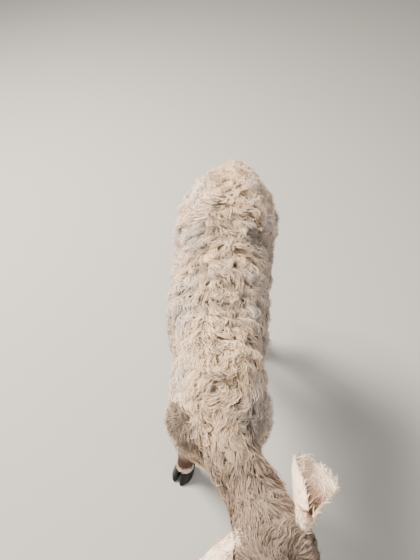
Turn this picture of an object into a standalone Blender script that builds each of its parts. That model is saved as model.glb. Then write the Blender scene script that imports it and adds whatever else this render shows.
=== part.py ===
"""A newborn Original Braunvieh calf, standing, as a life-size still model.

Metres, +Z up, the calf faces -Y and its left side is +X. The flesh is lofted from sections, fused
into one skin, dressed with rounded coat clumps and then parted by thin cuts into named pieces.
"""

import math
import random

import bmesh
import bpy
from mathutils import Matrix, Vector
from mathutils.bvhtree import BVHTree

# Driving sizes of a calf a few days old, 0.75 m at the withers
GAP = 0.0003  # between pieces that touch
POLL = Vector((0.064, -0.393, 0.736))  # top of the head, between the ears
HEAD_YAW = math.radians(10)  # turned to the calf's left
HEAD_PITCH = math.radians(40)  # nose below the poll
REAR_SWING = 0.10  # slope of the hindquarters towards the left
REAR_SOFTNESS = 0.05
RUMP_BEND = 1.65  # how the end of the rump bends on to the left
RUMP_START = 0.25
EYE_RADIUS = 0.0165
EYE_PLACE = Vector((0.0440, -0.088, -0.0290))  # from the poll, in the head's own axes
EAR_LENGTH = 0.108
CLEFT = 0.0022  # between the two claws of a foot
# Claw sections from the sole up: height (none at the coronet), toe, heel, width
CLAW = (
    (0.0, -0.0500, 0.0130, 0.0284),
    (0.005, -0.0495, 0.0145, 0.0288),
    (0.020, -0.0400, 0.0205, 0.0272),
    (None, -0.0262, 0.0262, 0.0243),
)

# Torso sections: y, top, bottom, half width
TORSO = (
    (0.366, 0.692, 0.600, 0.027),
    (0.350, 0.724, 0.556, 0.049),
    (0.318, 0.737, 0.528, 0.073),
    (0.265, 0.746, 0.508, 0.099),
    (0.200, 0.748, 0.484, 0.107),
    (0.130, 0.741, 0.460, 0.098),
    (0.050, 0.732, 0.441, 0.097),
    (-0.040, 0.729, 0.440, 0.090),
    (-0.100, 0.736, 0.447, 0.077),
    (-0.160, 0.743, 0.455, 0.071),
    (-0.210, 0.732, 0.468, 0.067),
    (-0.250, 0.706, 0.492, 0.056),
    (-0.282, 0.672, 0.530, 0.038),
)
# Neck sections: x, y, z of the middle, half width, half depth
NECK = (
    (0.000, -0.195, 0.628, 0.064, 0.108),
    (0.006, -0.240, 0.636, 0.050, 0.092),
    (0.018, -0.277, 0.645, 0.041, 0.078),
    (0.035, -0.307, 0.653, 0.039, 0.073),
    (0.050, -0.338, 0.661, 0.041, 0.070),
    (0.062, -0.376, 0.672, 0.046, 0.067),
)
# Skull and face sections: distance from the poll, half width, top, bottom, squareness
FACE = (
    (-0.018, 0.028, -0.016, -0.072, 0.92),
    (0.002, 0.045, 0.000, -0.096, 0.92),
    (0.030, 0.0545, 0.008, -0.110, 0.90),
    (0.058, 0.0560, 0.008, -0.118, 0.88),
    (0.084, 0.0530, 0.003, -0.116, 0.86),
    (0.110, 0.0475, -0.005, -0.109, 0.86),
    (0.136, 0.0425, -0.0135, -0.101, 0.84),
    (0.162, 0.0405, -0.0200, -0.096, 0.82),
    (0.186, 0.0425, -0.0245, -0.093, 0.78),
    (0.204, 0.0415, -0.0290, -0.088, 0.78),
    (0.2180, 0.0330, -0.0370, -0.077, 0.80),
)
# Lower jaw sections: distance from the poll, half width, top, bottom
JAW = (
    (0.022, 0.026, -0.060, -0.106),
    (0.045, 0.037, -0.060, -0.124),
    (0.075, 0.036, -0.060, -0.127),
    (0.110, 0.029, -0.058, -0.115),
    (0.145, 0.0265, -0.056, -0.107),
    (0.174, 0.0270, -0.054, -0.101),
    (0.197, 0.0235, -0.056, -0.0945),
)
# Fore leg sections, from the shoulder down: outward, y, z, half width, half depth
FORE_LEG = (
    (0.042, -0.165, 0.690, 0.020, 0.040),
    (0.050, -0.185, 0.620, 0.029, 0.062),
    (0.056, -0.192, 0.560, 0.031, 0.062),
    (0.059, -0.178, 0.500, 0.030, 0.050),
    (0.061, -0.168, 0.450, 0.0295, 0.0420),
    (0.063, -0.165, 0.400, 0.0285, 0.0355),
    (0.066, -0.163, 0.345, 0.0255, 0.0290),
    (0.067, -0.161, 0.300, 0.0250, 0.0260),
    (0.0675, -0.159, 0.262, 0.0280, 0.0290),
    (0.070, -0.153, 0.225, 0.0215, 0.0225),
    (0.075, -0.149, 0.165, 0.0180, 0.0195),
    (0.080, -0.146, 0.125, 0.0205, 0.0215),
    (0.083, -0.144, 0.102, 0.0248, 0.0250),
    (0.086, -0.151, 0.074, 0.0228, 0.0210),
    (0.089, -0.158, 0.050, 0.0262, 0.0262),
    (0.090, -0.160, 0.020, 0.0262, 0.0262),
)
# Hind leg sections, from the hip down: outward, y, z, half width, half depth
# The right fore foot stands a little further back and points outward
RIGHT_FOOT_BACK = 0.020
RIGHT_FOOT_IN = 0.005
RIGHT_FOOT_TURN = -30.0  # degrees about +Z
KNEE_TOP = 0.34
RIGHT_FORE_LEG = tuple(
    (outward - RIGHT_FOOT_IN * max(1 - z / KNEE_TOP, 0), y + RIGHT_FOOT_BACK * max(1 - z / KNEE_TOP, 0),
     z, half_width, half_depth)
    for outward, y, z, half_width, half_depth in FORE_LEG
)
HIND_LEG = (
    (0.042, 0.250, 0.690, 0.036, 0.060),
    (0.056, 0.260, 0.620, 0.046, 0.084),
    (0.066, 0.258, 0.550, 0.047, 0.092),
    (0.073, 0.238, 0.490, 0.043, 0.080),
    (0.077, 0.236, 0.445, 0.0370, 0.0640),
    (0.075, 0.262, 0.400, 0.0290, 0.0460),
    (0.073, 0.288, 0.360, 0.0240, 0.0375),
    (0.072, 0.304, 0.325, 0.0225, 0.0370),
    (0.072, 0.303, 0.290, 0.0255, 0.0310),
    (0.072, 0.296, 0.250, 0.0215, 0.0245),
    (0.073, 0.288, 0.180, 0.0185, 0.0210),
    (0.074, 0.280, 0.130, 0.0205, 0.0225),
    (0.075, 0.276, 0.106, 0.0245, 0.0255),
    (0.077, 0.267, 0.076, 0.0225, 0.0210),
    (0.078, 0.259, 0.050, 0.0260, 0.0260),
    (0.078, 0.257, 0.020, 0.0260, 0.0260),
)
# Tail, from its root: x, y, z, radius
TAIL = (
    (0.044, 0.320, 0.702, 0.0175),
    (0.048, 0.346, 0.698, 0.0162),
    (0.050, 0.369, 0.676, 0.0144),
    (0.050, 0.384, 0.634, 0.0122),
    (0.048, 0.394, 0.570, 0.0105),
    (0.047, 0.395, 0.500, 0.0092),
    (0.046, 0.394, 0.440, 0.0085),
)
SWITCH_TIP = Vector((0.044, 0.390, 0.330))
SWITCH_MIDDLE = Vector((0.0452, 0.3925))

SWITCH_LEVEL = 0.452  # where the stem ends and the switch begins
FORE_CUT = 0.438  # height of the cut across each foreleg
HIND_CUT = 0.450
WHORL_Y = -0.148  # the coat parts at the withers, to the front and to the back
LOWEST_CURL = 0.480
CURL_STEP = 0.0535
CURL_ROWS = (0.352, -0.325)  # from the rump to behind the ears
# A curl from root to tip: share of its length, of its width and height, and how deep it is sunk
CURL_SECTIONS = (
    (0.0, 0.60, 0.05, 0.0060),
    (0.32, 0.98, 0.80, 0.0055),
    (0.70, 0.94, 1.00, 0.0050),
    (1.0, 0.50, 0.40, 0.0040),
)
# The forelock's curls: across the crown, distance from the poll
POLL_CURLS = (
    (0.000, 0.044), (0.019, 0.036), (-0.019, 0.036), (0.009, 0.022), (-0.010, 0.022),
    (0.026, 0.014), (-0.026, 0.014), (0.000, 0.004),
)
# Ears: root, tip, the way the cup opens at its root and at its tip
EARS = (
    ("ear_left", (0.098, -0.365, 0.708), (0.134, -0.284, 0.644), (0.60, 0.30, 0.70), (0.42, 0.40, 0.80)),
    ("ear_right", (0.026, -0.388, 0.703), (-0.043, -0.480, 0.658), (-0.62, 0.20, -0.74), (-0.62, 0.20, -0.74)),
)

COATS = {
    "coat_silver": ((0.62, 0.55, 0.48), 0.85),
    "coat_leg": ((0.30, 0.21, 0.15), 0.80),
    "coat_ear": ((0.72, 0.66, 0.59), 0.85),
    "horn_black": ((0.02, 0.017, 0.016), 0.35),
    "eye_dark": ((0.012, 0.008, 0.007), 0.05),
}


def clear_scene():
    for obj in list(bpy.data.objects):
        bpy.data.objects.remove(obj)


def rear_sway(y):
    """Sideways place of the spine: straight in front, swung to the left behind."""
    return REAR_SWING * 0.5 * (y + math.hypot(y, REAR_SOFTNESS)) + RUMP_BEND * max(y - RUMP_START, 0) ** 2


def smooth_rows(rows, steps):
    """Rows of numbers with a Catmull-Rom curve run through them."""
    found = []
    last = len(rows) - 1
    for i in range(last):
        a, b, c, d = rows[max(i - 1, 0)], rows[i], rows[i + 1], rows[min(i + 2, last)]
        for k in range(steps):
            t = k / steps
            found.append(
                tuple(
                    0.5 * (2 * q + (r - p) * t + (2 * p - 5 * q + 4 * r - s) * t * t
                           + (3 * q - 3 * r + s - p) * t ** 3)
                    for p, q, r, s in zip(a, b, c, d)
                )
            )
    found.append(tuple(rows[-1]))
    return found


def ring(middle, across, up, half_width, rise, drop, sides=20, keel=0.0, fullness=1.0):
    """One closed section. keel narrows its lower half, and fullness under 1 squares it off."""
    points = []
    for k in range(sides):
        turn = 2 * math.pi * k / sides
        c, s = math.cos(turn), math.sin(turn)
        c = math.copysign(abs(c) ** fullness, c)
        s = math.copysign(abs(s) ** fullness, s)
        narrowed = 1 - keel * s * s if s < 0 else 1
        points.append(middle + across * (half_width * c * narrowed) + up * (s * (rise if s > 0 else drop)))
    return points


def loft(name, rings, matrix=None):
    """A closed mesh object through rings of equal counts, with a flat cap at each end."""
    mesh = bmesh.new()
    rows = [[mesh.verts.new(matrix @ p if matrix else p) for p in points] for points in rings]
    for low, high in zip(rows, rows[1:]):
        for k in range(len(low)):
            n = (k + 1) % len(low)
            mesh.faces.new((low[k], low[n], high[n], high[k]))
    mesh.faces.new(rows[0])
    mesh.faces.new(rows[-1])
    bmesh.ops.recalc_face_normals(mesh, faces=mesh.faces)
    return object_of(name, mesh)


def object_of(name, mesh):
    data = bpy.data.meshes.new(name)
    mesh.to_mesh(data)
    mesh.free()
    obj = bpy.data.objects.new(name, data)
    bpy.context.scene.collection.objects.link(obj)
    return obj


def apply_modifiers(obj):
    graph = bpy.context.evaluated_depsgraph_get()
    data = bpy.data.meshes.new_from_object(obj.evaluated_get(graph))
    obj.modifiers.clear()
    obj.data = data
    return obj


def joined(name, pieces):
    """One mesh object that holds all the pieces, which are removed."""
    mesh = bmesh.new()
    for piece in pieces:
        piece.data.transform(piece.matrix_world)
        mesh.from_mesh(piece.data)
        bpy.data.objects.remove(piece)
    return object_of(name, mesh)


def copied(obj, name):
    twin = bpy.data.objects.new(name, obj.data.copy())
    bpy.context.scene.collection.objects.link(twin)
    return twin


def fused(name, pieces, voxel, smoothing, triangles):
    """Overlapping pieces grown together into one smooth skin of about that many triangles."""
    whole = joined(name, pieces)
    remesh = whole.modifiers.new("Grow together", "REMESH")
    remesh.mode = "VOXEL"
    remesh.voxel_size = voxel
    smooth = whole.modifiers.new("Soften", "SMOOTH")
    smooth.factor = 0.5
    smooth.iterations = smoothing
    apply_modifiers(whole)
    decimate = whole.modifiers.new("Thin out", "DECIMATE")
    decimate.ratio = triangles / (2 * len(whole.data.polygons))
    decimate.use_collapse_triangulate = True
    return apply_modifiers(whole)


def boolean(obj, other, operation, solver="MANIFOLD"):
    """Cuts, joins or intersects obj with another mesh object, or with a collection of them."""
    cut = obj.modifiers.new(operation.title(), "BOOLEAN")
    cut.operation = operation
    cut.solver = solver
    if isinstance(other, bpy.types.Collection):
        cut.operand_type = "COLLECTION"
        cut.collection = other
    else:
        cut.object = other
    return apply_modifiers(obj)


def largest_surface(obj):
    """Drops every loose scrap that a cut or a join has left."""
    mesh = bmesh.new()
    mesh.from_mesh(obj.data)
    bmesh.ops.triangulate(mesh, faces=mesh.faces)
    unseen = set(mesh.verts)
    islands = []
    while unseen:
        island, front = set(), [unseen.pop()]
        while front:
            vert = front.pop()
            island.add(vert)
            near = {edge.other_vert(vert) for edge in vert.link_edges} & unseen
            unseen -= near
            front.extend(near)
        islands.append(island)
    islands.sort(key=len)
    bmesh.ops.delete(mesh, geom=[v for island in islands[:-1] for v in island], context="VERTS")
    mesh.to_mesh(obj.data)
    mesh.free()
    return obj


def slab(name, matrix, low, high):
    """A box from low to high in the axes of matrix."""
    mesh = bmesh.new()
    bmesh.ops.create_cube(mesh, size=1)
    size = Vector(high) - Vector(low)
    centre = (Vector(high) + Vector(low)) / 2
    place = matrix @ Matrix.Translation(centre) @ Matrix.Diagonal((*size, 1))
    bmesh.ops.transform(mesh, matrix=place, verts=mesh.verts)
    return object_of(name, mesh)


def ball(name, matrix, sizes, segments=20, rows=12):
    """A sphere stretched to three radii in the axes of matrix."""
    mesh = bmesh.new()
    bmesh.ops.create_uvsphere(mesh, u_segments=segments, v_segments=rows, radius=1)
    bmesh.ops.transform(mesh, matrix=matrix @ Matrix.Diagonal((*sizes, 1)), verts=mesh.verts)
    return object_of(name, mesh)


def head_axes():
    """From the head's own axes, poll at the origin and nose along -Y, to the room's."""
    turn = Matrix.Rotation(HEAD_YAW, 4, "Z") @ Matrix.Rotation(HEAD_PITCH, 4, "X")
    return Matrix.Translation(POLL) @ turn


def torso_form():
    rings = []
    for y, top, bottom, half in smooth_rows(TORSO, 3):
        widest = bottom + 0.50 * (top - bottom)
        middle = Vector((rear_sway(y), y, widest))
        ridged = min(max((y - 0.27) / 0.09, 0), 1)
        rings.append(ring(middle, Vector((1, 0, 0)), Vector((0, 0, 1)), half,
                          top - widest, widest - bottom, 28, fullness=0.92 + 0.75 * ridged ** 2))
    return loft("torso_form", rings)


def path_rings(rows, sides, fullness=1.0):
    """Sections square to a path of x, y, z, half width, half depth."""
    rings = []
    for i, row in enumerate(rows):
        before, after = rows[max(i - 1, 0)], rows[min(i + 1, len(rows) - 1)]
        along = (Vector(after[:3]) - Vector(before[:3])).normalized()
        across = along.cross(Vector((0, 0, 1))).normalized()
        if abs(along.z) > 0.98:
            across = Vector((1, 0, 0))
        up = across.cross(along).normalized()
        rings.append(ring(Vector(row[:3]), across, up, row[3], row[-1], row[-1], sides,
                          fullness=fullness))
    return rings


def leg_form(name, sections, side, behind):
    """A leg from level sections. side is 1 for the left and -1 for the right."""
    rings = []
    for outward, y, z, half_width, half_depth in smooth_rows(sections, 3):
        spine = rear_sway(y) if behind else 0.0
        rings.append(ring(Vector((spine + side * outward, y, z)), Vector((1, 0, 0)),
                          Vector((0, 1, 0)), half_width, half_depth, half_depth, 20))
    return loft(name, rings)


def head_forms(axes):
    """Skull and face, lower jaw, brows and cheeks, in the room's axes."""
    forms = []
    rows = smooth_rows(FACE, 3)
    rings = []
    for reach, half, top, bottom, squareness in rows:
        widest = bottom + 0.62 * (top - bottom)
        rings.append(ring(Vector((0, -reach, widest)), Vector((1, 0, 0)), Vector((0, 0, 1)),
                          half, top - widest, widest - bottom, 28, keel=0.24,
                          fullness=squareness))
    forms.append(loft("face_form", rings, axes))
    rings = []
    for reach, half, top, bottom in smooth_rows(JAW, 3):
        widest = (top + bottom) / 2
        rings.append(ring(Vector((0, -reach, widest)), Vector((1, 0, 0)), Vector((0, 0, 1)),
                          half, top - widest, widest - bottom, 20))
    forms.append(loft("jaw_form", rings, axes))
    for side in (1, -1):
        brow = axes @ Matrix.Translation((side * 0.0415, -0.086, -0.0125))
        brow = brow @ Matrix.Rotation(side * math.radians(-14), 4, "Z")
        forms.append(ball("brow_form", brow, (0.0120, 0.026, 0.0105)))
        cheek = axes @ Matrix.Translation((side * 0.034, -0.070, -0.078))
        forms.append(ball("cheek_form", cheek, (0.014, 0.038, 0.034)))
        lip = axes @ Matrix.Translation((side * 0.026, -0.194, -0.063))
        forms.append(ball("lip_form", lip, (0.0165, 0.024, 0.0150)))
    return forms


def neck_form(name):
    return loft(name, path_rings(smooth_rows(NECK, 4), 24))


def ear_mesh(name, base, tip, opening, tip_opening):
    """A leaf-shaped ear, rolled into a tube at its root and opening into a cup that turns along it."""
    along = (tip - base).normalized()
    length_steps, across_steps = 8, 6
    mesh = bmesh.new()
    rows = []
    for i in range(length_steps + 1):
        u = i / length_steps
        facing = opening.lerp(tip_opening, u)
        inward = (facing - along * facing.dot(along)).normalized()
        across = along.cross(inward)
        half_arc = EAR_LENGTH * (0.25 + 0.60 * u - 0.48 * u * u) * math.sqrt(max(1 - u ** 7, 0.12))
        half_turn = math.radians(160 - 65 * min(u / 0.50, 1) - 130 * max(u - 0.50, 0))
        radius = half_arc / half_turn
        spine = base + along * (EAR_LENGTH * u) - inward * (0.010 * math.sin(math.pi * u))
        row = []
        for k in range(across_steps + 1):
            turn = half_turn * (2 * k / across_steps - 1)
            row.append(mesh.verts.new(
                spine + across * (radius * math.sin(turn)) + inward * (radius * (1 - math.cos(turn)))
            ))
        rows.append(row)
    for low, high in zip(rows, rows[1:]):
        for k in range(across_steps):
            mesh.faces.new((low[k], low[k + 1], high[k + 1], high[k]))
    bmesh.ops.triangulate(mesh, faces=mesh.faces)
    ear = object_of(name, mesh)
    thick = ear.modifiers.new("Wall", "SOLIDIFY")
    thick.thickness = 0.0042
    thick.offset = 0
    return apply_modifiers(ear)


def claw(name, foot, side):
    """Half a hoof with its flat sole on the floor. side is 1 for the claw towards +X, else -1."""
    rings = []
    for height, toe, heel, width in CLAW:
        points = []
        for k in range(16):
            turn = 2 * math.pi * k / 16
            c, s = math.cos(turn), math.sin(turn)
            y = (toe + heel) / 2 + (toe - heel) / 2 * s
            half = width / 2 * (1 - 0.22 * max(s, 0) ** 2)
            x = CLEFT / 2 + width / 2 * (1 - 0.35 * max(s, 0) ** 2) + max(half * c, -0.80 * half)
            z = coronet_level(y) - GAP if height is None else height
            points.append(foot @ Vector((side * x, y, z)))
        rings.append(points)
    return loft(name, rings)


def coronet_level(y):
    """Height of a hoof's upper edge, y from the middle of the foot: high in front, low behind."""
    return 0.036 - 0.28 * y


def finish(obj, coat):
    colour, roughness = COATS[coat]
    material = bpy.data.materials.get(coat)
    if material is None:
        material = bpy.data.materials.new(coat)
        material.use_nodes = True
        shader = material.node_tree.nodes["Principled BSDF"]
        shader.inputs["Base Color"].default_value = (*colour, 1)
        shader.inputs["Roughness"].default_value = roughness
    obj.data.materials.clear()
    obj.data.materials.append(material)
    return obj


def inflated(obj, name, amount=GAP):
    """A copy grown by the gap, to cut neighbours with."""
    twin = copied(obj, name)
    grow = twin.modifiers.new("Grow", "DISPLACE")
    grow.mid_level = 0
    grow.strength = amount
    return apply_modifiers(twin)


def direction(*parts):
    return Vector(parts).normalized()


def eye_axes(axes, side):
    """From an eye's own axes, looking along -Y with the lids' corners on X, to the room's."""
    place = axes @ Matrix.Translation((side * EYE_PLACE.x, EYE_PLACE.y, EYE_PLACE.z))
    turn = Matrix.Rotation(side * math.radians(68), 4, "Z") @ Matrix.Rotation(math.radians(-4), 4, "X")
    return place @ turn @ Matrix.Rotation(side * math.radians(16), 4, "Y")


def almond(name, matrix):
    """A prism of the opening between the lids, standing out along -Y."""
    outline = []
    for k in range(16):
        turn = 2 * math.pi * k / 16
        c, s = math.cos(turn), math.sin(turn)
        outline.append((0.0150 * c, 0.0098 * s * (1 - 0.30 * c * c)))
    near = [Vector((x * 0.6, -0.004, z * 0.6)) for x, z in outline]
    far = [Vector((x * 1.4, -0.030, z * 1.4)) for x, z in outline]
    return loft(name, [near, far], matrix)


def detailed_head(head, axes):
    """Lids, eye sockets, mouth line and nostrils on the fused head."""
    for side in (1, -1):
        own = eye_axes(axes, side)
        lid = ball("lid", own, [EYE_RADIUS + 0.0030] * 3, 16, 10)
        boolean(head, lid, "UNION")
        bpy.data.objects.remove(lid)
    for side in (1, -1):
        own = eye_axes(axes, side)
        nostril = axes @ Matrix.Translation((side * 0.0225, -0.2175, -0.0430))
        nostril = nostril @ Matrix.Rotation(side * math.radians(28), 4, "Z")
        nostril = nostril @ Matrix.Rotation(side * math.radians(24), 4, "Y")
        cutters = (
            ball("socket", own, [EYE_RADIUS + GAP] * 3, 14, 8),
            almond("opening", own),
            ball("nostril", nostril, (0.0055, 0.0110, 0.0080), 14, 8),
        )
        for cutter in cutters:
            boolean(head, cutter, "DIFFERENCE")
            bpy.data.objects.remove(cutter)
    mouth = axes @ Matrix.Rotation(math.radians(4), 4, "X")
    line = slab("mouth", mouth, (-0.06, -0.26, -0.0640), (0.06, -0.162, -0.0624))
    boolean(head, line, "DIFFERENCE")
    bpy.data.objects.remove(line)
    return largest_surface(head)


def dewclaw(name, fetlock, side, grown=0.0):
    """One of the two small horn cones behind a fetlock."""
    root = fetlock @ Vector((side * 0.0125, 0.0150, 0.012))
    tip = fetlock @ Vector((side * 0.0165, 0.0345, -0.004))
    along = (tip - root).normalized()
    across = fetlock.to_3x3() @ Vector((1, 0, 0))
    up = across.cross(along).normalized()
    rings = []
    for share, half in ((0.0, 0.0085), (0.5, 0.0078), (1.0, 0.0032)):
        middle = root.lerp(tip, share)
        rings.append(ring(middle, across, up, half + grown, half + grown, half + grown, 8))
    return loft(name, rings)


def switch_forms(rng):
    """The tail's end: a soft core and flat tapering locks hanging from it."""
    x, y = SWITCH_MIDDLE
    core = [(x + 0.0018, y + 0.0025, 0.470, 0.0088), (x + 0.0008, y + 0.0015, 0.440, 0.0110),
            (x, y, 0.410, 0.0135), (x, y, 0.380, 0.0110), (x, y, 0.356, 0.0050)]
    forms = [loft("switch_core", path_rings(smooth_rows(core, 2), 10))]
    for n in range(9):
        turn = 2 * math.pi * n / 9 + rng.uniform(-0.2, 0.2)
        side = Vector((math.cos(turn), math.sin(turn), 0))
        edge = Vector((-side.y, side.x, 0))
        top, tip = rng.uniform(0.425, 0.445), SWITCH_TIP.z + rng.uniform(0.0, 0.030)
        wave = rng.uniform(-0.006, 0.006)
        rings = []
        for share, out, half, thick in ((0.0, 0.0055, 0.005, 0.003), (0.42, 0.0130, 0.0085, 0.0045),
                                        (1.0, 0.0055, 0.0016, 0.0012)):
            z = top + (tip - top) * share
            middle = Vector((x, y, z)) + side * out + edge * (wave * math.sin(math.pi * share))
            rings.append(ring(middle, edge, side, half, thick, thick, 6))
        forms.append(loft("switch_lock", rings))
    return forms


def lie_of_coat(place):
    """The way the hair lies: away from the whorl at the withers, then down the sides."""
    along = 1.0 if place.y > WHORL_Y else -1.0
    side = place.x - rear_sway(place.y)
    return Vector((side * 3.0, along, -abs(side) * 7.0))


def curl(skin, place, lie, length, half_width, height, hook):
    """A rounded clump of curled hair lying on skin, bent sideways by hook, its root sunk."""
    spot, normal, index, distance = skin.find_nearest(place)
    lie = (lie - normal * lie.dot(normal)).normalized()
    across = normal.cross(lie)
    rings = []
    for share, wide, high, sunk in CURL_SECTIONS:
        bend = hook * length * (1 - (2 * share - 1) ** 2)
        guess = spot + lie * (length * (share - 0.5)) + across * bend
        middle, up, index, distance = skin.find_nearest(guess)
        up = (up + normal).normalized()
        turned = (across - lie * (hook * 2.2 * (1 - 2 * share))).normalized()
        w, h = half_width * wide, height * high
        profile = ((-w, -sunk), (-0.68 * w, 0.66 * h), (0.0, h), (0.68 * w, 0.66 * h), (w, -sunk))
        rings.append([middle + turned * x + up * z for x, z in profile])
    return loft("curl", rings)


def coat_curls(skin, rng):
    """Clumps set close over back, sides, rump, shoulders and neck."""
    curls = []
    row = 0
    y = CURL_ROWS[0]
    while y > CURL_ROWS[1]:
        on_neck = y < -0.225
        centre = Vector((rear_sway(y), y, 0.60 + 0.03 * (y > 0.1)))
        if on_neck:
            near = min(smooth_rows(NECK, 4), key=lambda n: abs(n[1] - y))
            centre = Vector((near[0], y, near[2]))
        step = CURL_STEP * (0.82 if on_neck or y > 0.24 else 1.0)
        turn = -math.radians(200) / 2 + (row % 2) * 0.5 * step / 0.115
        while turn < math.radians(100):
            angle = turn + rng.uniform(-0.07, 0.07)
            out = Vector((math.sin(angle), rng.uniform(-0.05, 0.05), math.cos(angle)))
            hit, normal, index, distance = skin.ray_cast(centre, out)
            turn += step / (0.078 if on_neck else 0.115)
            if hit is None or hit.z < LOWEST_CURL or distance > 0.2:
                continue
            if hit.y > 0.322 and hit.z > 0.645 and abs(hit.x - 0.049) < 0.032:
                continue
            if y < -0.322:
                continue
            lie = lie_of_coat(hit) + Vector((rng.uniform(-0.35, 0.35), 0, rng.uniform(-0.3, 0.3)))
            tight = hit.y > 0.20 or on_neck
            curls.append(curl(skin, hit, lie,
                              rng.uniform(0.046, 0.053) if tight else rng.uniform(0.056, 0.065),
                              rng.uniform(0.020, 0.024) if tight else rng.uniform(0.026, 0.032),
                              rng.uniform(0.0080, 0.0105) * (0.8 if on_neck else 1)
                              * min(max((hit.z - 0.455) / 0.13, 0.35), 1),
                              rng.choice((-1, 1)) * rng.uniform(0.08, 0.22)))
        y -= step * 0.98
        row += 1
    return curls


def poll_curls(skull, axes, rng):
    """Small clumps of the forelock, on the crown between the ears."""
    curls = []
    for across, reach in POLL_CURLS:
        place = axes @ Vector((across + rng.uniform(-0.002, 0.002), -reach, 0.01))
        lie = axes.to_3x3() @ Vector((across * 12, -1.0 if reach > 0.01 else -0.4, -0.1))
        curls.append(curl(skull, place, lie, rng.uniform(0.028, 0.034), rng.uniform(0.010, 0.012),
                          rng.uniform(0.006, 0.008), rng.choice((-1, 1)) * rng.uniform(0.15, 0.3)))
    return curls


def united(name, forms):
    """Closed meshes made one by a Boolean union."""
    first = forms[0]
    first.name = name
    rest = bpy.data.collections.new(name + "_pieces")
    for form in forms[1:]:
        rest.objects.link(form)
    boolean(first, rest, "UNION")
    for form in forms[1:]:
        bpy.data.objects.remove(form)
    bpy.data.collections.remove(rest)
    return first


def region_box(name, middle, normal, far=1.0):
    """A box whose near face passes through middle and which reaches far along normal."""
    turn = normal.to_track_quat("Y", "Z").to_matrix().to_4x4()
    return slab(name, Matrix.Translation(middle) @ turn, (-1, 0, -1), (1, far, 1))


def leg_box(name, side, behind, top):
    """The space of one leg below the height top, down to its coronet."""
    low_y, high_y = (0.14, 0.42) if behind else (-0.30, -0.06)
    spine = rear_sway(0.26) if behind else 0.0
    low_x, high_x = (spine, spine + 0.25) if side > 0 else (spine - 0.25, spine)
    return slab(name, Matrix(), (low_x, low_y, -0.01), (high_x, high_y, top))


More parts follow.
